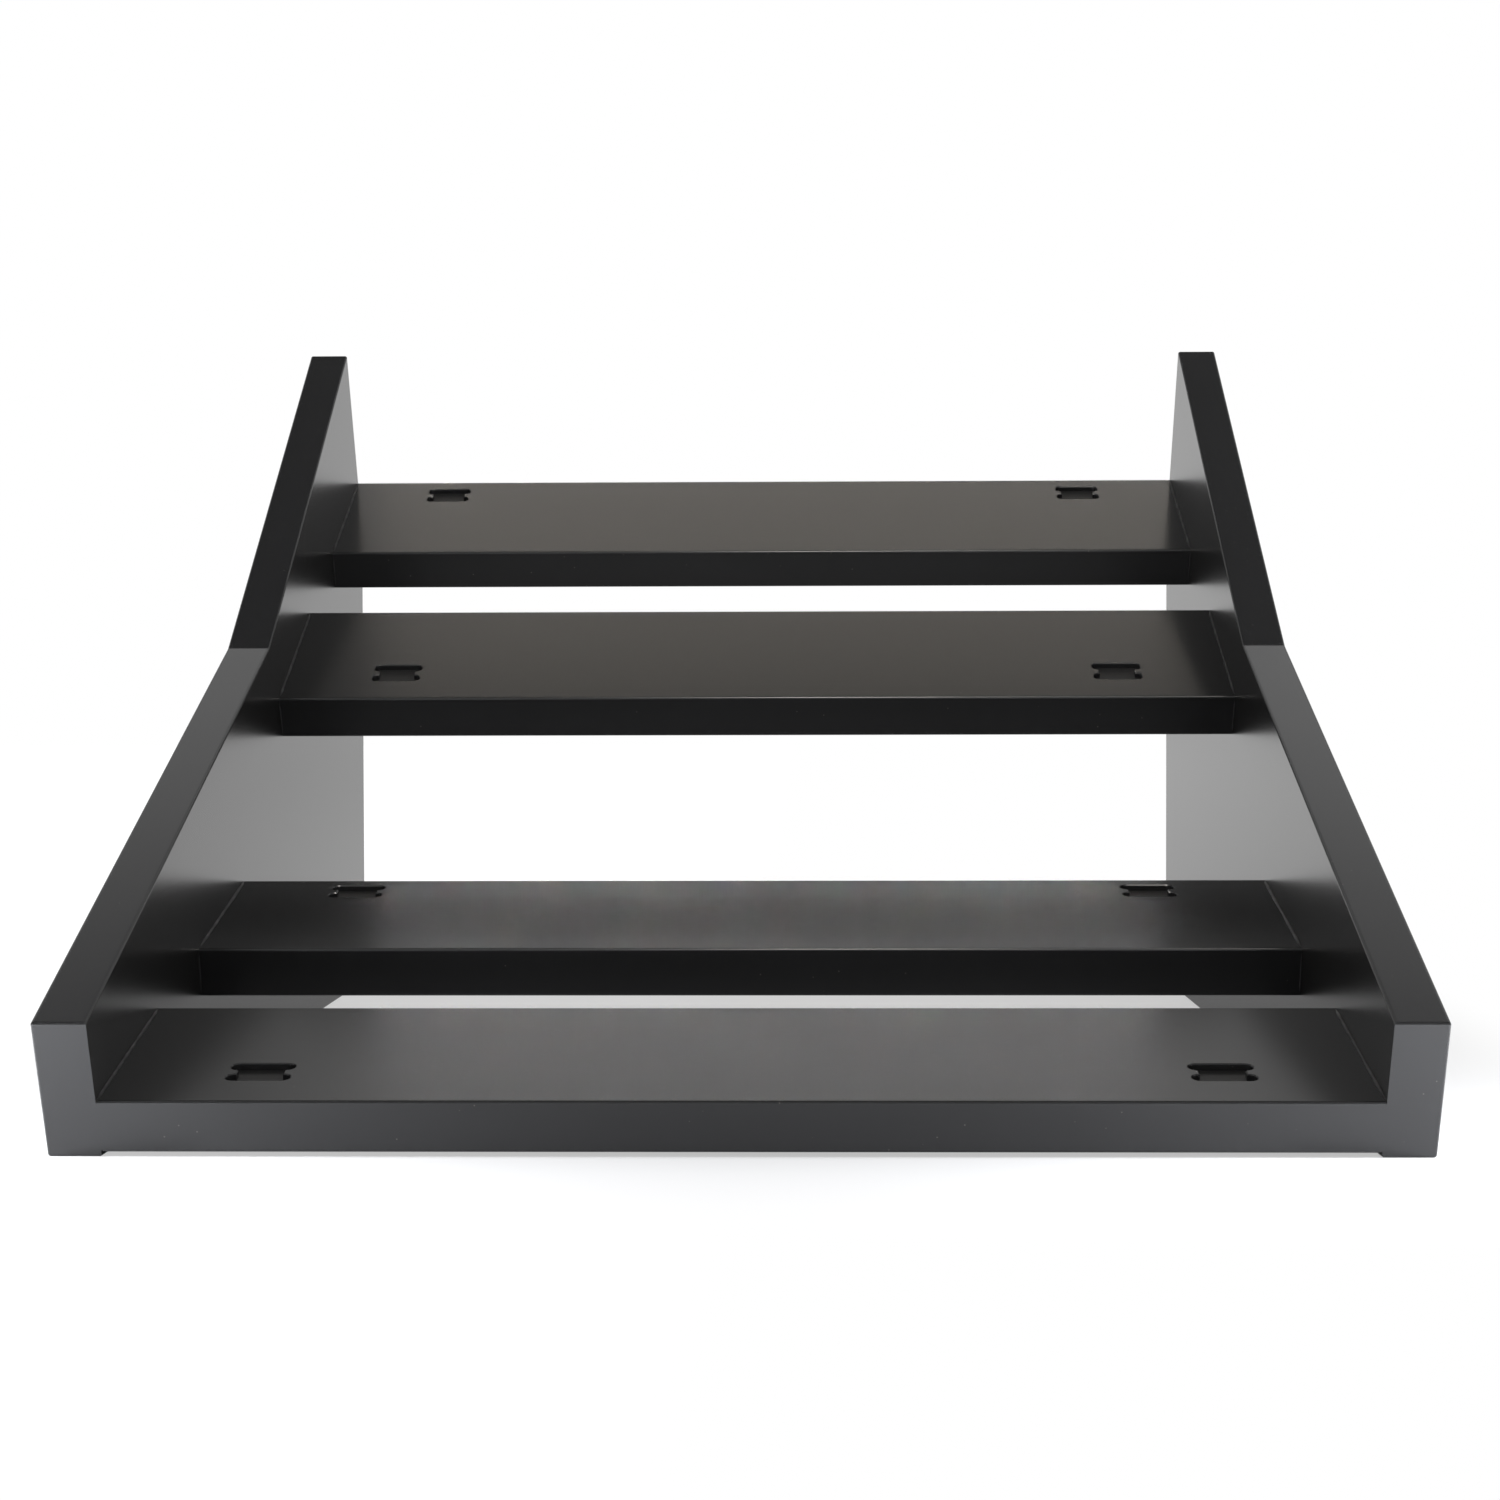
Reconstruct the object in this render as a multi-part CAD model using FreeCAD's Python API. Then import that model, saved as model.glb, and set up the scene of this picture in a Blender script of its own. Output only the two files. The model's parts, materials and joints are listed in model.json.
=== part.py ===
import FreeCAD, Part
import math
import os

# Two-tier desktop stand for synthesizers: two side panels carry four tilted rails.
# X runs across the stand, +Y to the rear, +Z up. Lengths are in millimetres, angles in degrees.
# The origin lies on the floor, in the middle of the stand's footprint.

# Boards
PANEL_BOARD = 18.0       # thickness of the side panels
RAIL_BOARD = 19.0        # thickness of the rails
BAY_WIDTH = 416.0        # clear width between the side panels, and length of each rail
EASE = 1.0               # radius on the panels' and rails' edges
KNEE = 6.0               # radius in the inner corner between the two sloping edges

# Tiers
RAIL_WIDTH = 86.7
BEVEL_ALLOWANCE = 1.8    # extra width of the lower front rail, whose front is bevelled
TIER_SPACING = 153.0     # from the front edge of a tier's first rail to that of its second
LOWER_TILT = 13.2        # slope of the lower tier's seat
UPPER_TILT = 27.35       # slope of the upper tier's seat
EDGE_RISE = 9.35         # how much more steeply a panel's edge climbs than its tier

# Side panels
LOWER_EDGE = 323.3       # sloping edge from the front corner to the knee
UPPER_EDGE = 250.7       # sloping edge from the knee to the top corner
LOWER_DROP = 29.0        # front corner down to the lower seat, along the front edge
UPPER_DROP = 69.3        # top corner down to the upper seat, along the rear edge
FLOOR_GAP = 1.5          # air under the front rail
REAR_MARGIN = 7.0        # rear edge left below the last rail before it turns upright

# Foot pockets: square recesses whose corners are relieved sideways by the round cutter
POCKET_SIDE = 15.5
POCKET_DEPTH = 2.5
POCKET_SPACING = 319.0   # centre to centre, across the stand
POCKET_FRONT = 24.5      # centre to the upper tier's front edge
POCKET_REAR = 16.5       # centre to the upper tier's rear edge
POCKET_SHIFT = 1.8       # how much further back both lie in the lower tier
POCKET_RIM = 0.4         # chamfer round the mouth
CUTTER = 6.0             # cutter diameter

# Dowels: two in each rail end
DOWEL_DIAMETER = 8.0
DOWEL_LENGTH = 30.0
DOWEL_IN_PANEL = 10.0
DOWEL_SPACING = 56.0
DOWEL_CHAMFER = 1.0

# Connecting screws: one in each rail end, driven through the panel under a flush plug
SCREW_LENGTH = 50.0
SCREW_HEAD = 10.0
SCREW_HEAD_HEIGHT = 2.5
SCREW_SHANK = 7.0
SCREW_CORE = 5.0
SCREW_TIP = 4.0          # length of the tapered tip
SOCKET_ACROSS = 4.0      # hexagon socket, across its flats
SOCKET_DEPTH = 3.0
PLUG_DIAMETER = 12.0
PLUG_SINK = 4.0          # depth of the plug's seat in the panel
PLUG_EASE = 0.4

# Clearances
FIT = 0.05               # radial clearance round dowels, screws and plugs
END_GAP = 0.3            # clearance at the screw's shoulder and behind the plug
HOLE_END = 1.0           # extra depth past a dowel or a screw tip
OVERCUT = 1.0            # how far a cutting tool runs past the face that it opens
SAME = 1e-6              # lengths closer than this count as equal

# Worked-out sizes
HALF_BAY = BAY_WIDTH / 2
TIER_DEPTH = TIER_SPACING + RAIL_WIDTH
FRONT_RAIL_WIDTH = RAIL_WIDTH + BEVEL_ALLOWANCE
LOWER_EDGE_TILT = LOWER_TILT + EDGE_RISE
UPPER_EDGE_TILT = UPPER_TILT + EDGE_RISE
SCREW_IN_RAIL = SCREW_LENGTH + PLUG_SINK - PANEL_BOARD


def along(angle):
    """Unit vector in the side view, climbing to the rear at an angle."""
    turn = math.radians(angle)
    return FreeCAD.Vector(0, math.cos(turn), math.sin(turn))


def down(angle):
    """Unit vector in the side view, square to along() and pointing down."""
    turn = math.radians(angle)
    return FreeCAD.Vector(0, math.sin(turn), -math.cos(turn))


def panel_corners():
    """Corners of a side panel in the side view, from the front foot round to the rear foot."""
    rail_face = RAIL_BOARD / math.cos(math.radians(EDGE_RISE))
    foot = FLOOR_GAP / math.cos(math.radians(LOWER_EDGE_TILT))
    front_edge = LOWER_DROP + rail_face + foot
    rear_edge = UPPER_DROP + RAIL_BOARD + REAR_MARGIN
    front = FreeCAD.Vector(0, 0, 0) - down(LOWER_EDGE_TILT) * front_edge
    knee = front + along(LOWER_EDGE_TILT) * LOWER_EDGE
    top = knee + along(UPPER_EDGE_TILT) * UPPER_EDGE
    rear = top + down(UPPER_TILT) * rear_edge
    corners = [FreeCAD.Vector(0, 0, 0), front, knee, top, rear, FreeCAD.Vector(0, rear.y, 0)]
    middle = FreeCAD.Vector(0, (front.y + rear.y) / 2, 0)
    return [corner - middle for corner in corners]


FOOT, FRONT, BEND, TOP, REAR, HEEL = panel_corners()
LOWER_SEAT = FRONT + down(LOWER_EDGE_TILT) * LOWER_DROP
UPPER_SEAT = TOP + down(UPPER_TILT) * UPPER_DROP - along(UPPER_TILT) * TIER_DEPTH


def seat_placement(seat, tilt, start):
    """Place a rail's own frame: top face in XY, front edge on X, start measured along the tier."""
    turn = FreeCAD.Rotation(FreeCAD.Vector(1, 0, 0), tilt)
    return FreeCAD.Placement(seat + along(tilt) * start, turn)


# Each rail: place, width, set-back of the lower front edge, and the pockets' distance from the front
BEVEL = RAIL_BOARD * math.tan(math.radians(EDGE_RISE))
REAR_POCKET = RAIL_WIDTH - POCKET_REAR
RAILS = {
    "lower_front": (
        seat_placement(LOWER_SEAT, LOWER_TILT, 0), FRONT_RAIL_WIDTH, BEVEL, POCKET_FRONT + POCKET_SHIFT
    ),
    "lower_rear": (
        seat_placement(LOWER_SEAT, LOWER_TILT, TIER_SPACING), RAIL_WIDTH, 0, REAR_POCKET + POCKET_SHIFT
    ),
    "upper_front": (seat_placement(UPPER_SEAT, UPPER_TILT, 0), RAIL_WIDTH, 0, POCKET_FRONT),
    "upper_rear": (seat_placement(UPPER_SEAT, UPPER_TILT, TIER_SPACING), RAIL_WIDTH, 0, REAR_POCKET),
}
SIDES = {"left": -1, "right": 1}


def board_face(points):
    """Flat face through corner points."""
    return Part.Face(Part.makePolygon(points + points[:1]))


def turned(outline, side, across):
    """Revolve (reach, radius) points about a rail end's axis; reach grows outward from the joint."""
    axis = FreeCAD.Vector(side * HALF_BAY, across, -RAIL_BOARD / 2)
    points = [axis + FreeCAD.Vector(side * reach, 0, radius) for reach, radius in outline]
    return board_face(points).revolve(axis, FreeCAD.Vector(1, 0, 0), 360)


def plain_hole(radius, inner, outer, side, across):
    """Round cutting tool between two reaches."""
    return turned([(inner, 0), (inner, radius), (outer, radius), (outer, 0)], side, across)


def dowel_places():
    """Distances of the two dowels from a rail's front edge."""
    return [RAIL_WIDTH / 2 + half * DOWEL_SPACING / 2 for half in (-1, 1)]


def dowel(side, across):
    """Straight dowel with chamfered ends, partly in the panel and partly in the rail."""
    radius = DOWEL_DIAMETER / 2
    inner = DOWEL_IN_PANEL - DOWEL_LENGTH
    outline = [
        (inner, 0),
        (inner, radius - DOWEL_CHAMFER),
        (inner + DOWEL_CHAMFER, radius),
        (DOWEL_IN_PANEL - DOWEL_CHAMFER, radius),
        (DOWEL_IN_PANEL, radius - DOWEL_CHAMFER),
        (DOWEL_IN_PANEL, 0),
    ]
    return turned(outline, side, across)


def head_steps(fit):
    """Shank, cone and head of the screw as (reach, radius) points, grown by a clearance."""
    head_top = PANEL_BOARD - PLUG_SINK
    cone_top = head_top - SCREW_HEAD_HEIGHT
    cone_foot = cone_top - (SCREW_HEAD - SCREW_SHANK) / 2
    return [
        (cone_foot, SCREW_SHANK / 2 + fit),
        (cone_top, SCREW_HEAD / 2 + fit),
        (head_top, SCREW_HEAD / 2 + fit),
    ]


def screw(side):
    """Connecting screw: tapered tip, core, smooth shank, cone and head with a hexagon socket."""
    core = SCREW_CORE / 2
    steps = head_steps(0)
    head_top = steps[-1][0]
    outline = [
        (-SCREW_IN_RAIL, 0),
        (-SCREW_IN_RAIL, core / 2),
        (SCREW_TIP - SCREW_IN_RAIL, core),
        (END_GAP, core),
        (END_GAP, SCREW_SHANK / 2),
    ]
    body = turned(outline + steps + [(head_top, 0)], side, RAIL_WIDTH / 2)
    axis = FreeCAD.Vector(side * (HALF_BAY + head_top - SOCKET_DEPTH), RAIL_WIDTH / 2, -RAIL_BOARD / 2)
    reach = SOCKET_ACROSS / 2 / math.cos(math.radians(30))
    hexagon = [axis + along(60 * turn) * reach for turn in range(6)]
    socket = board_face(hexagon).extrude(FreeCAD.Vector(side * (SOCKET_DEPTH + OVERCUT), 0, 0))
    return body.cut(socket)


def plug(side):
    """Round cover plug, flush with the panel's outer face and eased round its rim."""
    radius = PLUG_DIAMETER / 2
    inner = PANEL_BOARD - PLUG_SINK + END_GAP
    outline = [
        (inner, 0),
        (inner, radius),
        (PANEL_BOARD - PLUG_EASE, radius),
        (PANEL_BOARD, radius - PLUG_EASE),
        (PANEL_BOARD, 0),
    ]
    return turned(outline, side, RAIL_WIDTH / 2)


def panel_holes(side):
    """Dowel holes and the stepped screw hole of one rail end, in the rail's frame."""
    dowel_end = DOWEL_IN_PANEL + HOLE_END
    radius = DOWEL_DIAMETER / 2 + FIT
    holes = [plain_hole(radius, -OVERCUT, dowel_end, side, place) for place in dowel_places()]
    steps = head_steps(FIT)
    plug_radius = PLUG_DIAMETER / 2 + FIT
    outline = [(-OVERCUT, 0), (-OVERCUT, SCREW_SHANK / 2 + FIT)] + steps
    outline += [
        (steps[-1][0], plug_radius),
        (PANEL_BOARD + OVERCUT, plug_radius),
        (PANEL_BOARD + OVERCUT, 0),
    ]
    return holes + [turned(outline, side, RAIL_WIDTH / 2)]


def rail_holes(side):
    """Dowel holes and the screw's pilot hole in one rail end."""
    dowel_end = DOWEL_IN_PANEL - DOWEL_LENGTH - HOLE_END
    radius = DOWEL_DIAMETER / 2 + FIT
    holes = [plain_hole(radius, dowel_end, OVERCUT, side, place) for place in dowel_places()]
    pilot_end = -SCREW_IN_RAIL - HOLE_END
    return holes + [plain_hole(SCREW_CORE / 2 + FIT, pilot_end, OVERCUT, side, RAIL_WIDTH / 2)]


def pocket(middle_x, middle_y):
    """Cutter for one foot pocket: a square with a round relief beside each corner."""
    half = POCKET_SIDE / 2
    relief = CUTTER / 2
    floor = FreeCAD.Vector(middle_x - half, middle_y - half, -POCKET_DEPTH)
    deep = POCKET_DEPTH + OVERCUT
    tools = [Part.makeBox(POCKET_SIDE, POCKET_SIDE, deep, floor)]
    for x in (-half, half):
        for y in (relief - half, half - relief):
            place = FreeCAD.Vector(middle_x + x, middle_y + y, -POCKET_DEPTH)
            tools.append(Part.makeCylinder(relief, deep, place))
    return tools[0].fuse(tools[1:]).removeSplitter()


def on_mouth(edge, centres):
    """True for an edge round a pocket's mouth, in the flat top of a rail."""
    box = edge.BoundBox
    level = max(abs(box.ZMin), abs(box.ZMax)) < SAME
    return level and min(abs(box.Center.x - centre) for centre in centres) < POCKET_SIDE


def rail(width, bevel, pocket_place):
    """Board with eased long edges, two foot pockets in its top and drilled ends."""
    start = FreeCAD.Vector(-HALF_BAY, 0, 0)
    section = [
        start,
        start + FreeCAD.Vector(0, width, 0),
        start + FreeCAD.Vector(0, width, -RAIL_BOARD),
        start + FreeCAD.Vector(0, bevel, -RAIL_BOARD),
    ]
    body = board_face(section).extrude(FreeCAD.Vector(BAY_WIDTH, 0, 0))
    long_edges = [edge for edge in body.Edges if abs(edge.Length - BAY_WIDTH) < SAME]
    body = body.makeFillet(EASE, long_edges)
    centres = [side * POCKET_SPACING / 2 for side in SIDES.values()]
    body = body.cut([pocket(centre, pocket_place) for centre in centres])
    rims = [edge for edge in body.Edges if on_mouth(edge, centres)]
    body = body.makeChamfer(POCKET_RIM, rims)
    return body.cut([hole for side in SIDES.values() for hole in rail_holes(side)])


def apart(edge, point):
    """Distance of an edge's middle from a point."""
    return (edge.CenterOfMass - point).Length


def side_panel(side):
    """Panel cut to its outline, eased all round and drilled for the four rail ends."""
    inner = FreeCAD.Vector(side * HALF_BAY, 0, 0)
    corners = [inner + corner for corner in (FOOT, FRONT, BEND, TOP, REAR, HEEL)]
    body = board_face(corners).extrude(FreeCAD.Vector(side * PANEL_BOARD, 0, 0))
    knee = inner + BEND + FreeCAD.Vector(side * PANEL_BOARD / 2, 0, 0)
    body = body.makeFillet(KNEE, [edge for edge in body.Edges if apart(edge, knee) < KNEE])
    # The inner front edge stays sharp, so that the front rail closes flush against it.
    sharp = inner + (FOOT + FRONT) * 0.5
    eased = [edge for edge in body.Edges if apart(edge, knee) > KNEE and apart(edge, sharp) > EASE]
    body = body.makeFillet(EASE, eased)
    holes = []
    for place, _, _, _ in RAILS.values():
        for hole in panel_holes(side):
            hole.Placement = place
            holes.append(hole)
    return body.cut(holes)


pieces = {}
for side_name, side in SIDES.items():
    pieces[side_name + "_side_panel"] = side_panel(side)
for rail_name, (place, width, bevel, pocket_place) in RAILS.items():
    placed = {rail_name + "_rail": rail(width, bevel, pocket_place)}
    for side_name, side in SIDES.items():
        joint = rail_name + "_" + side_name
        dowels = [dowel(side, across) for across in dowel_places()]
        placed[joint + "_dowels"] = Part.makeCompound(dowels)
        placed[joint + "_screw"] = screw(side)
        placed[joint + "_plug"] = plug(side)
    for name, shape in placed.items():
        shape.Placement = place
        pieces[name] = shape

os.makedirs("parts", exist_ok=True)
for name, shape in pieces.items():
    shape.exportStep("parts/" + name + ".step")
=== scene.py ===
import json
import math

import bpy
from mathutils import Matrix, Vector


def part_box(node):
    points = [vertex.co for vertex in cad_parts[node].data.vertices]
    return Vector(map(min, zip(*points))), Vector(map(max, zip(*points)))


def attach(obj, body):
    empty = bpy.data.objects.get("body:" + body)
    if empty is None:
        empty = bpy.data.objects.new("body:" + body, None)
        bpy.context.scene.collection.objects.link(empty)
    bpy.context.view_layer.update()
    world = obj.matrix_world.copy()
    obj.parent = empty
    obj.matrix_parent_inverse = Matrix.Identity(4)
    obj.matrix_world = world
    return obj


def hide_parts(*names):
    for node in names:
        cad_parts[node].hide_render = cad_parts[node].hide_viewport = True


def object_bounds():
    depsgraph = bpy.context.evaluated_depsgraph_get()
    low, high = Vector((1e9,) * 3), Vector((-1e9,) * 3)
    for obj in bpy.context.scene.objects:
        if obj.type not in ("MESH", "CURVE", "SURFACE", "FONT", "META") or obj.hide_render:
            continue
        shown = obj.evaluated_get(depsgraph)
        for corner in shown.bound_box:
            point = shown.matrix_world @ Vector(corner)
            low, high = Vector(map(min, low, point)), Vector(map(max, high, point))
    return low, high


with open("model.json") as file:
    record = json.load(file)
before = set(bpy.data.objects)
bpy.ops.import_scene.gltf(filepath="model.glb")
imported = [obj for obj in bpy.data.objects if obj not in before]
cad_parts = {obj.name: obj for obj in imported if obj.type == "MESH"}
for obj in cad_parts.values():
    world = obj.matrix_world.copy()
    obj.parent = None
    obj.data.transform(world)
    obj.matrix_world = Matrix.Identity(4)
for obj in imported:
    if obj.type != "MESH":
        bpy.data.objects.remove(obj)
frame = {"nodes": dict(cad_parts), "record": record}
cad_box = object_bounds()
scene = bpy.context.scene


# Side panels: two 18 mm boards of MDF, sawn to one outline, eased round their edges and sprayed with
# satin black lacquer. They stand on their lower edges and carry the rails between them.
def linear(hex_colour):
    """An sRGB hex colour as linear red, green, blue and alpha."""
    parts = [int(hex_colour[i:i + 2], 16) / 255 for i in (1, 3, 5)]
    return tuple(c / 12.92 if c <= 0.04045 else ((c + 0.055) / 1.055) ** 2.4 for c in parts) + (1.0,)


def add_node(tree, kind, inputs=None, **settings):
    """Add a node with its settings. Inputs are values, or sockets to link from."""
    node = tree.nodes.new(kind)
    for name, value in settings.items():
        setattr(node, name, value)
    for socket, value in (inputs or {}).items():
        if isinstance(value, bpy.types.NodeSocket):
            tree.links.new(value, node.inputs[socket])
        else:
            node.inputs[socket].default_value = value
    return node


# Detail of the lacquer in millimetres: patches of thicker film, cells that may hold a dust nib, the nib's
# radius and that of its core, and the dimples of the orange peel. Six cells in ten stay clean.
PATCH_WIDTH = 70
NIB_CELL = 5
NIB_RADIUS = 0.35
NIB_CORE = 0.15
CLEAN_CELLS = 0.6
PEEL_WIDTH = 1.6

# A surface is a face while its normal's part across the board is over 0.86, and a sawn edge under 0.6.
FACE_TURN = 0.86
EDGE_TURN = 0.6
SAWN_ROUGHNESS = 0.19
SAWN_UNEVENNESS = 0.04
POCKET_ROUGHNESS = 0.55
POCKET_TOLERANCE = 0.001


def lacquered_board(name, face_axis, face_roughness, sawn_roughness=SAWN_ROUGHNESS, pocket_floor=None):
    """Satin black lacquer sprayed on MDF. The film closes on the board's faces, which lie across face_axis
    and mirror softly. It sinks into the sawn edges, which dry a shade greyer. The milled floors of pockets,
    on the plane given by its normal and distance, stay matt."""
    material = bpy.data.materials.new(name)
    material.use_nodes = True
    tree = material.node_tree
    shader = tree.nodes["Principled BSDF"]
    place = add_node(tree, "ShaderNodeTexCoord").outputs["Object"]
    normal = add_node(tree, "ShaderNodeNewGeometry").outputs["Normal"]
    across = add_node(tree, "ShaderNodeSeparateXYZ", {0: normal}).outputs[face_axis]
    flat = add_node(tree, "ShaderNodeMath", {0: across}, operation="ABSOLUTE").outputs[0]
    edge = add_node(tree, "ShaderNodeMapRange", {
        "Value": flat, "From Min": FACE_TURN, "From Max": EDGE_TURN}).outputs[0]

    # Uneven film: soft patches, a shade lighter or darker.
    patches = add_node(tree, "ShaderNodeTexNoise", {
        "Vector": place, "Scale": 1000 / PATCH_WIDTH, "Detail": 3.0}).outputs[0]
    face = add_node(tree, "ShaderNodeMix", {
        0: patches, 6: linear("#181818"), 7: linear("#1f1e1d")}, data_type="RGBA").outputs[2]
    sawn = add_node(tree, "ShaderNodeMix", {
        0: patches, 6: linear("#1f1f20"), 7: linear("#262627")}, data_type="RGBA").outputs[2]
    tone = add_node(tree, "ShaderNodeMix", {0: edge, 6: face, 7: sawn}, data_type="RGBA").outputs[2]

    # Dust nibs caught in the film: grey specks, about a dozen in a palm's width.
    cells = add_node(tree, "ShaderNodeTexVoronoi", {"Vector": place, "Scale": 1000 / NIB_CELL})
    near = add_node(tree, "ShaderNodeMapRange", {
        "Value": cells.outputs["Distance"], "From Min": NIB_RADIUS / NIB_CELL,
        "From Max": NIB_CORE / NIB_CELL}).outputs[0]
    chance = add_node(tree, "ShaderNodeSeparateColor", {0: cells.outputs["Color"]}).outputs[0]
    dusty = add_node(tree, "ShaderNodeMath", {0: chance, 1: CLEAN_CELLS}, operation="GREATER_THAN").outputs[0]
    nib = add_node(tree, "ShaderNodeMath", {0: near, 1: dusty}, operation="MULTIPLY").outputs[0]
    speck = add_node(tree, "ShaderNodeMix", {
        0: nib, 6: tone, 7: linear("#504e4b")}, data_type="RGBA").outputs[2]
    tree.links.new(speck, shader.inputs["Base Color"])

    # Gloss: even on the faces, and on the sawn edges a little uneven with the film.
    uneven = add_node(tree, "ShaderNodeMapRange", {
        "Value": patches, "To Min": sawn_roughness, "To Max": sawn_roughness + SAWN_UNEVENNESS}).outputs[0]
    rough = add_node(tree, "ShaderNodeMapRange", {
        "Value": edge, "To Min": face_roughness, "To Max": uneven}).outputs[0]
    if pocket_floor:
        down, floor_depth = pocket_floor
        depth = add_node(tree, "ShaderNodeVectorMath", {
            0: place, 1: down}, operation="DOT_PRODUCT").outputs["Value"]
        milled = add_node(tree, "ShaderNodeMath", {
            0: depth, 1: floor_depth, 2: POCKET_TOLERANCE}, operation="COMPARE").outputs[0]
        level = add_node(tree, "ShaderNodeMath", {
            0: milled, 1: edge}, operation="SUBTRACT", use_clamp=True).outputs[0]
        rough = add_node(tree, "ShaderNodeMapRange", {
            "Value": level, "To Min": rough, "To Max": POCKET_ROUGHNESS}).outputs[0]
    tree.links.new(rough, shader.inputs["Roughness"])
    shader.inputs["IOR"].default_value = 1.5

    # Orange peel of the sprayed film: shallow dimples, a micrometre or two deep.
    peel = add_node(tree, "ShaderNodeTexNoise", {
        "Vector": place, "Scale": 1000 / PEEL_WIDTH, "Detail": 2.0}).outputs[0]
    bump = add_node(tree, "ShaderNodeBump", {"Height": peel, "Strength": 0.15, "Distance": 0.00001})
    tree.links.new(bump.outputs[0], shader.inputs["Normal"])
    return material


PANELS = ("left_side_panel", "right_side_panel")
PANEL_ROUGHNESS = 0.27
panel_lacquer = lacquered_board("satin black lacquer on panel MDF", "X", PANEL_ROUGHNESS)
for name in PANELS:
    frame["nodes"][name].material_slots[0].material = panel_lacquer


# Rails: four 19 mm MDF boards, butted between the panels and sprayed with them. Each has two foot
# pockets, milled into its top before spraying. The lower front rail closes flush with the panels.
RAILS = ("lower_front", "lower_rear", "upper_front", "upper_rear")
RAIL_ROUGHNESS = 0.19
mounts = {mount["name"]: mount for mount in frame["record"]["mounts"]}
for tier in ("lower", "upper"):
    pocket = mounts[tier + "_front_left_foot_pocket"]
    down = -Vector(pocket["axis"])
    floor_depth = down.dot(Vector(pocket["pos_m"]))
    rail_lacquer = lacquered_board("satin black lacquer on " + tier + " rail MDF", "Z", RAIL_ROUGHNESS,
                                   pocket_floor=(down, floor_depth))
    for rail in RAILS:
        if rail.startswith(tier):
            frame["nodes"][rail + "_rail"].material_slots[0].material = rail_lacquer


# Lacquer bead: where a rail end meets a panel, the wet lacquer pooled in the corner and dried dull, in a
# thin sloping bead along each side of the rail's end. It swells and thins on its way and tapers out.
def named_inputs(tree, inputs):
    """Give a tree of geometry nodes its named inputs, and a geometry to take in and to give back."""
    tree.interface.new_socket("Geometry", in_out="INPUT", socket_type="NodeSocketGeometry")
    for name, kind in inputs.items():
        tree.interface.new_socket(name, in_out="INPUT", socket_type="NodeSocket" + kind)
    tree.interface.new_socket("Geometry", in_out="OUTPUT", socket_type="NodeSocketGeometry")
    return add_node(tree, "NodeGroupInput").outputs


def made_piece(name, tree, points, edges, sizes):
    """Run a tree on points and edges, keep the result as a plain mesh, and let it ride on the stand."""
    mesh = bpy.data.meshes.new(name)
    mesh.from_pydata(points, edges, [])
    piece = bpy.data.objects.new(name, mesh)
    scene.collection.objects.link(piece)
    modifier = piece.modifiers.new("nodes", "NODES")
    modifier.node_group = tree
    for socket in tree.interface.items_tree:
        if socket.in_out == "INPUT" and socket.name in sizes:
            modifier[socket.identifier] = sizes[socket.name]
    made = bpy.data.meshes.new_from_object(piece.evaluated_get(bpy.context.evaluated_depsgraph_get()))
    if made.materials[0] is None:
        made.materials.pop(index=0)
    piece.modifiers.remove(modifier)
    piece.data = made
    made.name = name
    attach(piece, "root")
    return piece


# Shares of the bead's full thickness: between two swells, at its tapered ends, and on upright stretches.
BETWEEN_SWELLS = 0.5
TAPERED = 0.1
RUN_OFF = 0.45
bead_tree = bpy.data.node_groups.new("lacquer bead", "GeometryNodeTree")
given = named_inputs(bead_tree, {"Bead Reach": "Float", "Step": "Float", "Swells Per Metre": "Float",
                                 "Finish": "Material"})
line = add_node(bead_tree, "GeometryNodeMeshToCurve", {0: given["Geometry"]}).outputs[0]
line = add_node(bead_tree, "GeometryNodeResampleCurve", {
    0: line, "Length": given["Step"]}, mode="LENGTH").outputs[0]
line = add_node(bead_tree, "GeometryNodeSetCurveNormal", {0: line}, mode="Z_UP").outputs[0]
# A square section with two corners on the rail and the panel, so that the side between them slopes.
section = add_node(bead_tree, "GeometryNodeCurvePrimitiveCircle", {
    "Resolution": 4, "Radius": given["Bead Reach"]}).outputs[0]
swell = add_node(bead_tree, "ShaderNodeTexNoise", {
    "Scale": given["Swells Per Metre"], "Detail": 2.0}).outputs[0]
swell = add_node(bead_tree, "ShaderNodeMapRange", {
    "Value": swell, "From Min": 0.35, "From Max": 0.65, "To Min": BETWEEN_SWELLS}).outputs[0]
# It tapers out over the last twentieth at each end of its line.
TAPER_START = 0.45
along = add_node(bead_tree, "GeometryNodeSplineParameter").outputs["Factor"]
along = add_node(bead_tree, "ShaderNodeMath", {0: along, 1: 0.5}, operation="SUBTRACT").outputs[0]
along = add_node(bead_tree, "ShaderNodeMath", {0: along}, operation="ABSOLUTE").outputs[0]
taper = add_node(bead_tree, "ShaderNodeMapRange", {
    "Value": along, "From Min": 0.5, "From Max": TAPER_START, "To Min": TAPERED, "To Max": swell}).outputs[0]
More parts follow.
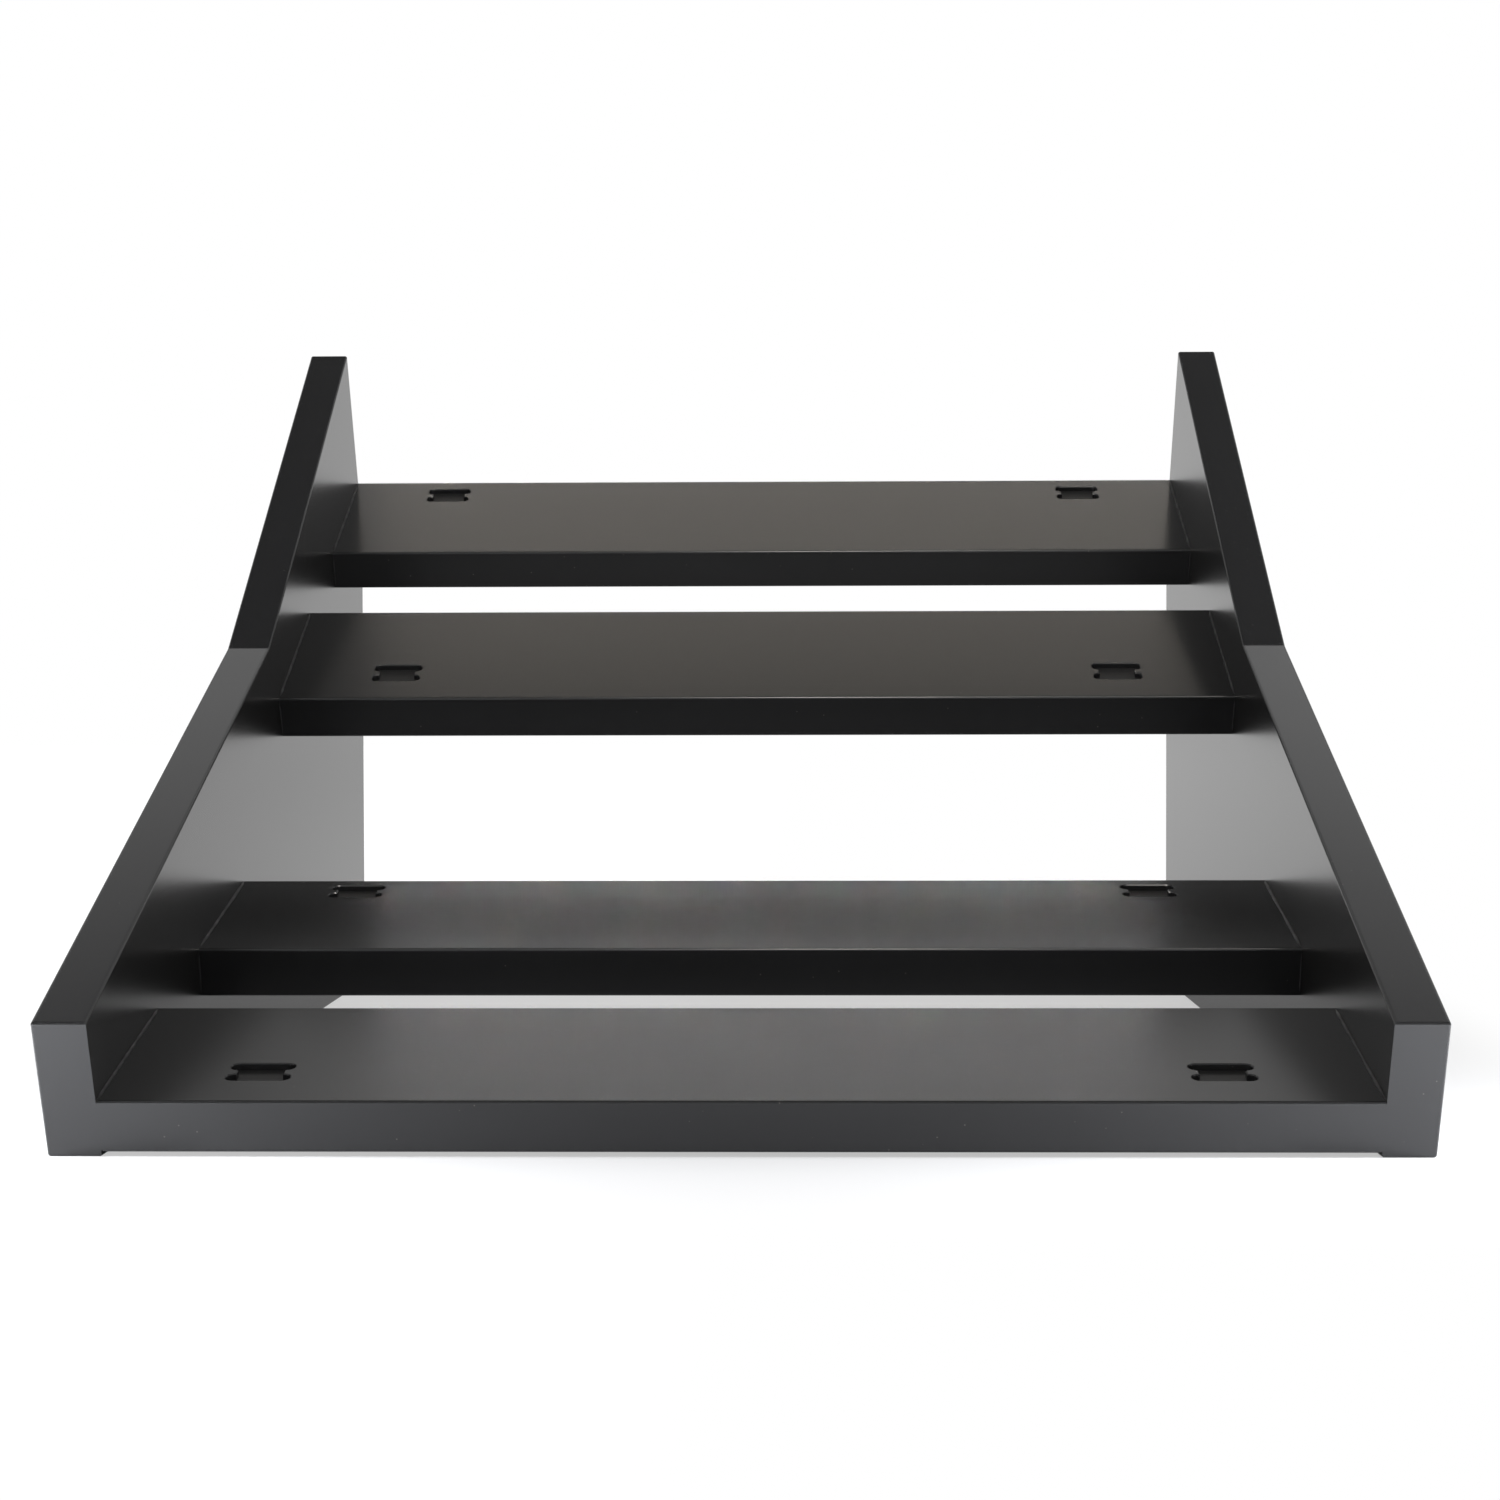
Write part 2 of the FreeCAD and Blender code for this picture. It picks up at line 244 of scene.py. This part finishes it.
# On upright stretches the wet lacquer ran off, so they are less than half as thick.
climb = add_node(bead_tree, "GeometryNodeInputTangent").outputs[0]
climb = add_node(bead_tree, "ShaderNodeSeparateXYZ", {0: climb}).outputs["Z"]
climb = add_node(bead_tree, "ShaderNodeMath", {0: climb}, operation="ABSOLUTE").outputs[0]
thin = add_node(bead_tree, "ShaderNodeMapRange", {
    "Value": climb, "From Min": 0.5, "From Max": 0.85, "To Min": 1.0, "To Max": RUN_OFF}).outputs[0]
thick = add_node(bead_tree, "ShaderNodeMath", {0: taper, 1: thin}, operation="MULTIPLY").outputs[0]
bead = add_node(bead_tree, "GeometryNodeCurveToMesh", {
    0: line, 1: section, "Scale": thick, "Fill Caps": True}).outputs[0]
whole = add_node(bead_tree, "GeometryNodeRealizeInstances", {0: bead})
done = add_node(bead_tree, "GeometryNodeSetMaterial", {0: whole.outputs[0], "Material": given["Finish"]})
add_node(bead_tree, "NodeGroupOutput", {0: done.outputs[0]})

# Each bead stops 2 mm before the rail's corners, clear of the eased edges. The lower front rail has none on
# its front, which is flush with the panels.
CORNER_MARGIN = 0.002
BEAD_REACH = 0.0009
BEAD_STEP = 0.002
BEAD_SWELLS_PER_METRE = 150.0
BEAD_ROUGHNESS = 0.5
rail_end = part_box("lower_front_rail")[1].x
bead_points = []
bead_edges = []
for rail in RAILS:
    up = Vector(mounts[rail + "_seat"]["axis"])
    slope = Vector((0, up.z, -up.y))
    corners = [vertex.co for vertex in frame["nodes"][rail + "_rail"].data.vertices]
    lengths = [slope.dot(corner) for corner in corners]
    heights = [up.dot(corner) for corner in corners]
    front, rear, bottom, top = min(lengths), max(lengths), min(heights), max(heights)
    inner_front, inner_rear = front + CORNER_MARGIN, rear - CORNER_MARGIN
    inner_bottom, inner_top = bottom + CORNER_MARGIN, top - CORNER_MARGIN
    stretches = [((inner_front, height), (inner_rear, height)) for height in (top, bottom)]
    ends = (rear,) if rail == "lower_front" else (front, rear)
    stretches += [((length, inner_bottom), (length, inner_top)) for length in ends]
    for stretch in stretches:
        for side in (-rail_end, rail_end):
            bead_edges.append((len(bead_points), len(bead_points) + 1))
            bead_points += [Vector((side, 0, 0)) + slope * length + up * height for length, height in stretch]
pooled_lacquer = lacquered_board("dull black lacquer pooled in corners", "Z", BEAD_ROUGHNESS, BEAD_ROUGHNESS)
made_piece("lacquer_bead", bead_tree, bead_points, bead_edges,
           {"Bead Reach": BEAD_REACH, "Step": BEAD_STEP, "Swells Per Metre": BEAD_SWELLS_PER_METRE,
            "Finish": pooled_lacquer})


# Dowels: two beech pins in each rail end, glued half into the panel. Their sides are pressed into
# flutes that let the glue out, and both ends are chamfered to find the hole.
beech = bpy.data.materials.new("pressed beech")
beech.use_nodes = True
tree = beech.node_tree
shader = tree.nodes["Principled BSDF"]
place = add_node(tree, "ShaderNodeTexCoord").outputs["Object"]
# Pale wood with its grain along the pin: streaks 0.7 mm wide and 25 times as long.
GRAIN_WIDTH = 0.7
GRAIN_STRETCH = 25
stretched = add_node(tree, "ShaderNodeMapping", {0: place, "Scale": (1 / GRAIN_STRETCH, 1, 1)}).outputs[0]
grain = add_node(tree, "ShaderNodeTexNoise", {
    "Vector": stretched, "Scale": 1000 / GRAIN_WIDTH, "Detail": 4.0}).outputs[0]
wood = add_node(tree, "ShaderNodeMix", {
    0: grain, 6: linear("#b98f63"), 7: linear("#dab98c")}, data_type="RGBA").outputs[2]
tree.links.new(wood, shader.inputs["Base Color"])
rough = add_node(tree, "ShaderNodeMapRange", {"Value": grain, "To Min": 0.55, "To Max": 0.7}).outputs[0]
tree.links.new(rough, shader.inputs["Roughness"])
bump = add_node(tree, "ShaderNodeBump", {"Height": grain, "Strength": 0.4, "Distance": 0.00005})
tree.links.new(bump.outputs[0], shader.inputs["Normal"])

dowel_tree = bpy.data.node_groups.new("fluted dowels", "GeometryNodeTree")
given = named_inputs(dowel_tree, {"Diameter": "Float", "Length": "Float", "Chamfer": "Float",
                                  "Flutes": "Int", "Flute Depth": "Float", "Finish": "Material"})
radius = add_node(dowel_tree, "ShaderNodeMath", {0: given["Diameter"], 1: 2.0}, operation="DIVIDE").outputs[0]
corners = add_node(dowel_tree, "ShaderNodeMath", {
    0: given["Flutes"], 1: 4.0}, operation="MULTIPLY").outputs[0]
pin = add_node(dowel_tree, "GeometryNodeMeshCylinder", {
    "Vertices": corners, "Side Segments": 3, "Radius": radius, "Depth": given["Length"]}).outputs[0]
spot = add_node(dowel_tree, "GeometryNodeInputPosition").outputs[0]
x, y, z = add_node(dowel_tree, "ShaderNodeSeparateXYZ", {0: spot}).outputs
# The two inner rings move out to where the chamfers start, and the end rings draw in by the chamfer.
height = add_node(dowel_tree, "ShaderNodeMath", {0: z}, operation="ABSOLUTE").outputs[0]
third = add_node(dowel_tree, "ShaderNodeMath", {0: given["Length"], 1: 3.0}, operation="DIVIDE").outputs[0]
at_end = add_node(dowel_tree, "ShaderNodeMath", {0: height, 1: third}, operation="GREATER_THAN").outputs[0]
end = add_node(dowel_tree, "ShaderNodeMath", {0: given["Length"], 1: 2.0}, operation="DIVIDE").outputs[0]
ring = add_node(dowel_tree, "ShaderNodeMath", {
    0: end, 1: given["Chamfer"]}, operation="SUBTRACT").outputs[0]
level = add_node(dowel_tree, "ShaderNodeMapRange", {
    "Value": at_end, "To Min": ring, "To Max": end}).outputs[0]
sign = add_node(dowel_tree, "ShaderNodeMath", {0: z}, operation="SIGN").outputs[0]
level = add_node(dowel_tree, "ShaderNodeMath", {0: level, 1: sign}, operation="MULTIPLY").outputs[0]
# The surface goes in and out once for each flute on its way round the pin.
angle = add_node(dowel_tree, "ShaderNodeMath", {0: y, 1: x}, operation="ARCTAN2").outputs[0]
wave = add_node(dowel_tree, "ShaderNodeMath", {0: angle, 1: given["Flutes"]}, operation="MULTIPLY").outputs[0]
wave = add_node(dowel_tree, "ShaderNodeMath", {0: wave}, operation="COSINE").outputs[0]
groove = add_node(dowel_tree, "ShaderNodeMapRange", {
    "Value": wave, "From Min": 1.0, "From Max": -1.0, "To Max": given["Flute Depth"]}).outputs[0]
drawn = add_node(dowel_tree, "ShaderNodeMath", {
    0: at_end, 1: given["Chamfer"], 2: groove}, operation="MULTIPLY_ADD").outputs[0]
reach = add_node(dowel_tree, "ShaderNodeMath", {0: radius, 1: drawn}, operation="SUBTRACT").outputs[0]
x = add_node(dowel_tree, "ShaderNodeMath", {0: angle}, operation="COSINE").outputs[0]
y = add_node(dowel_tree, "ShaderNodeMath", {0: angle}, operation="SINE").outputs[0]
x = add_node(dowel_tree, "ShaderNodeMath", {0: x, 1: reach}, operation="MULTIPLY").outputs[0]
y = add_node(dowel_tree, "ShaderNodeMath", {0: y, 1: reach}, operation="MULTIPLY").outputs[0]
spot = add_node(dowel_tree, "ShaderNodeCombineXYZ", {0: x, 1: y, 2: level}).outputs[0]
pin = add_node(dowel_tree, "GeometryNodeSetPosition", {0: pin, "Position": spot}).outputs[0]
pins = add_node(dowel_tree, "GeometryNodeInstanceOnPoints", {
    "Points": given["Geometry"], "Instance": pin, "Rotation": (0, math.pi / 2, 0)}).outputs[0]
whole = add_node(dowel_tree, "GeometryNodeRealizeInstances", {0: pins})
done = add_node(dowel_tree, "GeometryNodeSetMaterial", {0: whole.outputs[0], "Material": given["Finish"]})
add_node(dowel_tree, "NodeGroupOutput", {0: done.outputs[0]})

# Of the two pins in a rail end, one lies in the lower front corner of their common box, and one in the
# upper rear corner.
DOWEL_DIAMETER = 0.008
DOWEL_LENGTH = 0.030
DOWEL_CHAMFER = 0.001
DOWEL_FLUTES = 12
FLUTE_DEPTH = 0.0003
JOINTS = [rail + "_" + side for rail in RAILS for side in ("left", "right")]
half_pin = Vector((DOWEL_LENGTH, DOWEL_DIAMETER, DOWEL_DIAMETER)) / 2
dowel_points = []
for joint in JOINTS:
    lowest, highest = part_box(joint + "_dowels")
    dowel_points += [lowest + half_pin, highest - half_pin]
dowels = made_piece("fluted_dowels", dowel_tree, dowel_points, [],
                    {"Diameter": DOWEL_DIAMETER, "Length": DOWEL_LENGTH, "Chamfer": DOWEL_CHAMFER,
                     "Flutes": DOWEL_FLUTES, "Flute Depth": FLUTE_DEPTH, "Finish": beech})
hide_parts(*[joint + "_dowels" for joint in JOINTS])


# Connecting screws: one in each rail end, turned and thread-rolled steel with a thin zinc plating,
# driven through the panel. The coarse thread is a ridge rolled up round the core.
zinc = bpy.data.materials.new("zinc-plated steel")
zinc.use_nodes = True
tree = zinc.node_tree
shader = tree.nodes["Principled BSDF"]
shader.inputs["Metallic"].default_value = 1.0
place = add_node(tree, "ShaderNodeTexCoord").outputs["Object"]
# Plating spangle: soft blotches 2 mm wide, lighter and darker, with turning marks along the screw. The
# marks are drawn 1.57 mm apart, coarser than real ones. A wave texture turns 20 radians per unit of scale.
SPANGLE_WIDTH = 2.0
MARK_SPACING = 1.57
WAVE_RADIANS = 20
spangle = add_node(tree, "ShaderNodeTexNoise", {
    "Vector": place, "Scale": 1000 / SPANGLE_WIDTH, "Detail": 2.0}).outputs[0]
plate = add_node(tree, "ShaderNodeMix", {
    0: spangle, 6: linear("#9ea3a6"), 7: linear("#c3c6c4")}, data_type="RGBA").outputs[2]
tree.links.new(plate, shader.inputs["Base Color"])
rough = add_node(tree, "ShaderNodeMapRange", {"Value": spangle, "To Min": 0.28, "To Max": 0.42}).outputs[0]
tree.links.new(rough, shader.inputs["Roughness"])
marks = add_node(tree, "ShaderNodeTexWave", {
    "Vector": place, "Scale": 2 * math.pi * 1000 / MARK_SPACING / WAVE_RADIANS}, bands_direction="X")
bump = add_node(tree, "ShaderNodeBump", {
    "Height": marks.outputs["Fac"], "Strength": 0.3, "Distance": 0.00002})
tree.links.new(bump.outputs[0], shader.inputs["Normal"])
for joint in JOINTS:
    frame["nodes"][joint + "_screw"].material_slots[0].material = zinc

thread_tree = bpy.data.node_groups.new("rolled thread", "GeometryNodeTree")
given = named_inputs(thread_tree, {"Core Radius": "Float", "Ridge": "Float", "Length": "Float",
                                   "Turns": "Float", "Finish": "Material"})
helix = add_node(thread_tree, "GeometryNodeCurveSpiral", {
    "Resolution": 20, "Rotations": given["Turns"], "Start Radius": given["Core Radius"],
    "End Radius": given["Core Radius"], "Height": given["Length"]}).outputs[0]
ridge = add_node(thread_tree, "GeometryNodeCurvePrimitiveCircle", {
    "Resolution": 3, "Radius": given["Ridge"]}).outputs[0]
thread = add_node(thread_tree, "GeometryNodeCurveToMesh", {0: helix, 1: ridge, "Fill Caps": True}).outputs[0]
half = add_node(thread_tree, "ShaderNodeMath", {0: given["Length"], 1: -0.5}, operation="MULTIPLY").outputs[0]
lowered = add_node(thread_tree, "ShaderNodeCombineXYZ", {2: half}).outputs[0]
thread = add_node(thread_tree, "GeometryNodeTransform", {0: thread, "Translation": lowered}).outputs[0]
threads = add_node(thread_tree, "GeometryNodeInstanceOnPoints", {
    "Points": given["Geometry"], "Instance": thread, "Rotation": (0, math.pi / 2, 0)}).outputs[0]
whole = add_node(thread_tree, "GeometryNodeRealizeInstances", {0: threads})
done = add_node(thread_tree, "GeometryNodeSetMaterial", {0: whole.outputs[0], "Material": given["Finish"]})
add_node(thread_tree, "NodeGroupOutput", {0: done.outputs[0]})

# The thread's middle lies 16.5 mm inside the rail's end, on the screw's axis.
THREAD_INSET = 0.0165
THREAD_LENGTH = 0.030
THREAD_TURNS = 10.0
CORE_RADIUS = 0.0025
RIDGE = 0.0009
thread_points = []
for joint in JOINTS:
    lowest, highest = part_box(joint + "_screw")
    middle = (lowest + highest) / 2
    middle.x = math.copysign(rail_end - THREAD_INSET, middle.x)
    thread_points.append(middle)
made_piece("screw_threads", thread_tree, thread_points, [],
           {"Core Radius": CORE_RADIUS, "Ridge": RIDGE, "Length": THREAD_LENGTH, "Turns": THREAD_TURNS,
            "Finish": zinc})


# Cover plugs: round caps moulded in black polypropylene, pressed flush into the panels over the
# screw heads. Their faces carry the fine grain of a spark-eroded mould.
GRIT_WIDTH = 0.35
plastic = bpy.data.materials.new("moulded black polypropylene")
plastic.use_nodes = True
tree = plastic.node_tree
shader = tree.nodes["Principled BSDF"]
place = add_node(tree, "ShaderNodeTexCoord").outputs["Object"]
# The mould's grit, 0.35 mm wide, gives a dull face with a faint sparkle.
grit = add_node(tree, "ShaderNodeTexNoise", {
    "Vector": place, "Scale": 1000 / GRIT_WIDTH, "Detail": 3.0}).outputs[0]
tint = add_node(tree, "ShaderNodeMix", {
    0: grit, 6: linear("#202021"), 7: linear("#2b2b2c")}, data_type="RGBA").outputs[2]
tree.links.new(tint, shader.inputs["Base Color"])
rough = add_node(tree, "ShaderNodeMapRange", {"Value": grit, "To Min": 0.42, "To Max": 0.56}).outputs[0]
tree.links.new(rough, shader.inputs["Roughness"])
shader.inputs["IOR"].default_value = 1.49
bump = add_node(tree, "ShaderNodeBump", {"Height": grit, "Strength": 0.5, "Distance": 0.00004})
tree.links.new(bump.outputs[0], shader.inputs["Normal"])
for joint in JOINTS:
    frame["nodes"][joint + "_plug"].material_slots[0].material = plastic


# Floor: a plain sheet of white studio paper. Near the stand it keeps the soft shadow, and further away it
# runs out into the white surroundings, which the camera and the lacquer's reflections both see.
FLOOR_REACH = 6
floor_mesh = bpy.data.meshes.new("floor")
floor_corners = [(x * FLOOR_REACH, y * FLOOR_REACH, 0) for x, y in ((-1, -1), (1, -1), (1, 1), (-1, 1))]
floor_mesh.from_pydata(floor_corners, [], [(0, 1, 2, 3)])
floor = bpy.data.objects.new("floor", floor_mesh)
scene.collection.objects.link(floor)
paper = bpy.data.materials.new("white studio paper")
paper.use_nodes = True
tree = paper.node_tree
tree.nodes.remove(tree.nodes["Principled BSDF"])
path = add_node(tree, "ShaderNodeLightPath").outputs
place = add_node(tree, "ShaderNodeTexCoord").outputs["Object"]

# Between these distances from the stand's middle, the paper runs out into white.
FAR_START = 0.42
FAR_END = 0.8
away = add_node(tree, "ShaderNodeVectorMath", {0: place}, operation="LENGTH").outputs["Value"]
far = add_node(tree, "ShaderNodeMapRange", {
    "Value": away, "From Min": FAR_START, "From Max": FAR_END}, interpolation_type="SMOOTHSTEP").outputs[0]
seen = add_node(tree, "ShaderNodeMath", {0: path["Is Camera Ray"], 1: path["Is Glossy Ray"]}).outputs[0]
seen = add_node(tree, "ShaderNodeMath", {0: seen, 1: path["Is Transmission Ray"]}, use_clamp=True).outputs[0]
far = add_node(tree, "ShaderNodeMath", {0: far, 1: seen}, operation="MULTIPLY").outputs[0]

# The camera sees it run out sooner, within 120 mm of the stand's box, and half of it is white from the start.
SHADOW_REACH = 0.12
SHADOW_LIFT = 0.5
stand_half = (cad_box[1][0], cad_box[1][1], 0)
beyond = add_node(tree, "ShaderNodeVectorMath", {0: place}, operation="ABSOLUTE").outputs[0]
beyond = add_node(tree, "ShaderNodeVectorMath", {0: beyond, 1: stand_half}, operation="SUBTRACT").outputs[0]
beyond = add_node(tree, "ShaderNodeVectorMath", {0: beyond, 1: (0, 0, 0)}, operation="MAXIMUM").outputs[0]
beyond = add_node(tree, "ShaderNodeVectorMath", {0: beyond}, operation="LENGTH").outputs["Value"]
lifted = add_node(tree, "ShaderNodeMapRange", {
    "Value": beyond, "From Max": SHADOW_REACH, "To Min": SHADOW_LIFT, "To Max": 1.0},
    interpolation_type="SMOOTHSTEP").outputs[0]
lifted = add_node(tree, "ShaderNodeMath", {
    0: lifted, 1: path["Is Camera Ray"]}, operation="MULTIPLY").outputs[0]
lifted = add_node(tree, "ShaderNodeMath", {0: lifted, 1: far}, operation="MAXIMUM").outputs[0]

# Painted light: the lacquer sees a painted glow on the paper under the stand, which grows from front to rear
# and fades round it.
GLOW = 0.26
GLOW_FRONT = -0.19
GLOW_REAR = 0.12
GLOW_FADE = 0.05
across, rearward, _ = add_node(tree, "ShaderNodeSeparateXYZ", {0: place}).outputs
glow = add_node(tree, "ShaderNodeMapRange", {
    "Value": rearward, "From Min": GLOW_FRONT, "From Max": GLOW_REAR, "To Max": GLOW}).outputs[0]
glow = add_node(tree, "ShaderNodeMapRange", {
    "Value": beyond, "From Max": GLOW_FADE, "To Min": glow, "To Max": 0.0}).outputs[0]
glow = add_node(tree, "ShaderNodeMath", {0: glow, 1: path["Is Glossy Ray"]}, operation="MULTIPLY").outputs[0]
lifted = add_node(tree, "ShaderNodeMath", {0: lifted, 1: glow}, operation="MAXIMUM").outputs[0]

# Painted light: the white that the lacquer sees glows a little brighter on the left, and the camera's is
# plain white.
LEFT_WHITE = 1.12
RIGHT_WHITE = 0.88
WHITE_SIDE = 0.4
matt = add_node(tree, "ShaderNodeBsdfDiffuse", {"Color": linear("#e6e6e6")}).outputs[0]
level = add_node(tree, "ShaderNodeMapRange", {
    "Value": across, "From Min": -WHITE_SIDE, "From Max": WHITE_SIDE, "To Min": LEFT_WHITE,
    "To Max": RIGHT_WHITE}).outputs[0]
level = add_node(tree, "ShaderNodeMath", {
    0: level, 1: path["Is Camera Ray"]}, operation="MAXIMUM").outputs[0]
white = add_node(tree, "ShaderNodeEmission", {"Color": (1, 1, 1, 1), "Strength": level}).outputs[0]
sheet = add_node(tree, "ShaderNodeMixShader", {0: lifted, 1: matt, 2: white}).outputs[0]
tree.links.new(sheet, tree.nodes["Material Output"].inputs["Surface"])
floor_mesh.materials.append(paper)


# Light: surroundings of four soft walls, white at the horizon behind and beside the stand, dim overhead and
# grey in front. Each wall has its brightness at degrees above the horizon. The camera sees plain white.
world = bpy.data.worlds.new("studio")
scene.world = world
world.use_nodes = True
tree = world.node_tree
path = add_node(tree, "ShaderNodeLightPath").outputs
ray = add_node(tree, "ShaderNodeTexCoord").outputs["Generated"]
ray = add_node(tree, "ShaderNodeSeparateXYZ", {0: ray}).outputs
climb = add_node(tree, "ShaderNodeMath", {0: ray["Z"]}, operation="ARCSINE").outputs[0]
climb = add_node(tree, "ShaderNodeMapRange", {"Value": climb, "From Max": math.pi / 2}).outputs[0]
walls = {}
for wall, levels in (
        ("front", ((0, 0.54), (50, 0.54), (75, 0.5), (90, 0.3))),
        ("rear", ((0, 1.0), (10, 1.0), (20, 0.68), (30, 0.65), (36, 0.65), (41, 0.84), (45, 1.0), (49, 0.32),
                  (57, 0.14), (70, 0.15), (90, 0.05))),
        ("left", ((0, 1.1), (10, 1.1), (20, 0.55), (30, 0.25), (36, 0.32), (40, 0.7), (43, 1.2), (45, 1.0),
                  (48, 0.2), (57, 0.08), (70, 0.15), (90, 0.05))),
        ("right", ((0, 0.96), (10, 0.96), (20, 0.55), (30, 0.22), (36, 0.29), (40, 0.8), (43, 1.5), (45, 1.2),
                   (48, 0.38), (57, 0.2), (70, 0.28), (90, 0.05)))):
    ramp = add_node(tree, "ShaderNodeValToRGB", {0: climb})
    stops = ramp.color_ramp.elements
    stops.remove(stops[1])
    for degrees, level in levels:
        stop = stops.new(degrees / 90) if degrees else stops[0]
        stop.color = (level, level, level, 1)
    walls[wall] = ramp.outputs[0]

# The side walls start where a ray leans about 10 degrees aside, and the front wall takes over in the middle.
around = walls["rear"]
for wall, axis, start, end in (("left", "X", -0.14, -0.22), ("right", "X", 0.14, 0.22),
                               ("front", "Y", 0.2, -0.2)):
    share = add_node(tree, "ShaderNodeMapRange", {
        "Value": ray[axis], "From Min": start, "From Max": end}, interpolation_type="SMOOTHSTEP").outputs[0]
    around = add_node(tree, "ShaderNodeMix", {
        0: share, 6: around, 7: walls[wall]}, data_type="RGBA").outputs[2]
seen = add_node(tree, "ShaderNodeMix", {
    0: path["Is Camera Ray"], 6: around, 7: (1, 1, 1, 1)}, data_type="RGBA").outputs[2]
tree.links.new(seen, tree.nodes["Background"].inputs["Color"])


def hung_light(name, shape, width, energy, colour, place, turn, receivers):
    """Hang an area light that falls only on its receivers and that the camera doesn't see."""
    light = bpy.data.lights.new(name, "AREA")
    light.shape = shape
    light.size = width
    light.energy = energy
    light.color = colour
    hung = bpy.data.objects.new(name, light)
    hung.location = place
    hung.rotation_euler = (turn, 0, 0)
    hung.visible_camera = False
    scene.collection.objects.link(hung)
    hung.light_linking.receiver_collection = receivers
    return hung


# Two wide softboxes hang behind the stand, flagged off the panels, and mirror in the rails' tops: the low
# one in the lower tier, the high one in the upper tier. Their light isn't passed on from piece to piece.
SOFTBOX_DISTANCE = 2
off_panels = bpy.data.collections.new("all but the panels")
for name in PANELS:
    off_panels.objects.link(frame["nodes"][name])
for member in off_panels.collection_objects:
    member.light_linking.link_state = "EXCLUDE"
for name, degrees, width, height, energy, colour in (
        ("low_softbox", 27, 1.04, 0.52, 1.98, (1.05, 1.0, 0.94)),
        ("high_softbox", 51, 0.93, 0.42, 0.6, (1.12, 1.0, 0.84))):
    climb = math.radians(degrees)
    place = (0, SOFTBOX_DISTANCE * math.cos(climb), SOFTBOX_DISTANCE * math.sin(climb))
    softbox = hung_light(name, "RECTANGLE", width, energy, colour, place, climb - math.pi / 2, off_panels)
    softbox.data.size_y = height
    softbox.data.cycles.max_bounces = 0
    softbox.data.cycles.use_multiple_importance_sampling = False

# Two narrow strip lights hang above the camera, flagged off all but the inner rails, and only mirror: they
# draw fine highlights along the eased front edges, one near the middle and one at the right of two rails.
STRIP_CLIMB = math.radians(52)
STRIP_AHEAD = -1.17
STRIP_HEIGHT = 1.73
STRIP_LENGTH = 0.8
STRIP_COLOUR = (1.05, 1.0, 0.94)
for name, side, width, energy, lit in (("middle_strip", 0.07, 0.2, 14.0, RAILS[1:]),
                                       ("right_strip", 0.5, 0.15, 2.6, RAILS[1:3])):
    lit_rails = bpy.data.collections.new(name)
    for rail in lit:
        lit_rails.objects.link(frame["nodes"][rail + "_rail"])
    place = (side, STRIP_AHEAD, STRIP_HEIGHT)
    strip = hung_light(name, "RECTANGLE", width, energy, STRIP_COLOUR, place, math.pi / 2 - STRIP_CLIMB,
                       lit_rails)
    strip.data.size_y = STRIP_LENGTH
    strip.visible_diffuse = False

# Two low lamps, flagged off the stand itself, light the paper in front of it from the left and the right.
LAMP_WIDTH = 0.2
LAMP_SPREAD = math.radians(118)
LAMP_ENERGY = 4.2
LAMP_COLOUR = (0.97, 0.99, 1.04)
LAMP_PLACES = ((-0.42, -0.42, 0.34), (0.42, -0.42, 0.34))
paper_only = bpy.data.collections.new("paper")
paper_only.objects.link(floor)
for place in LAMP_PLACES:
    lamp = hung_light("paper_lamp", "DISK", LAMP_WIDTH, LAMP_ENERGY, LAMP_COLOUR, place, 0, paper_only)
    lamp.data.spread = LAMP_SPREAD


# Camera: as high as the upper tier's front rail, under a metre in front of the stand and turned a little
# to the left, as the photograph was taken. Its angles are in radians.
YAW = 0.0211
PITCH = 0.0234
ROLL = 0.0026
CAMERA_PLACE = (0.0224, -1.1245, 0.1528)
SENSOR_WIDTH = 36.0
FOCAL_LENGTH = 64.64
lens = bpy.data.cameras.new("camera")
lens.sensor_width = SENSOR_WIDTH
lens.lens = FOCAL_LENGTH
lens.clip_end = 50.0
camera = bpy.data.objects.new("camera", lens)
scene.collection.objects.link(camera)
ahead = Vector((-math.sin(YAW) * math.cos(PITCH), math.cos(YAW) * math.cos(PITCH), -math.sin(PITCH)))
right = ahead.cross(Vector((0, 0, 1))).normalized()
right = math.cos(ROLL) * right + math.sin(ROLL) * ahead.cross(right)
above = right.cross(ahead)
turned = Matrix((right, above, -ahead)).transposed().to_4x4()
camera.matrix_world = Matrix.Translation(CAMERA_PLACE) @ turned
scene.camera = camera
scene.view_settings.view_transform = "Standard"
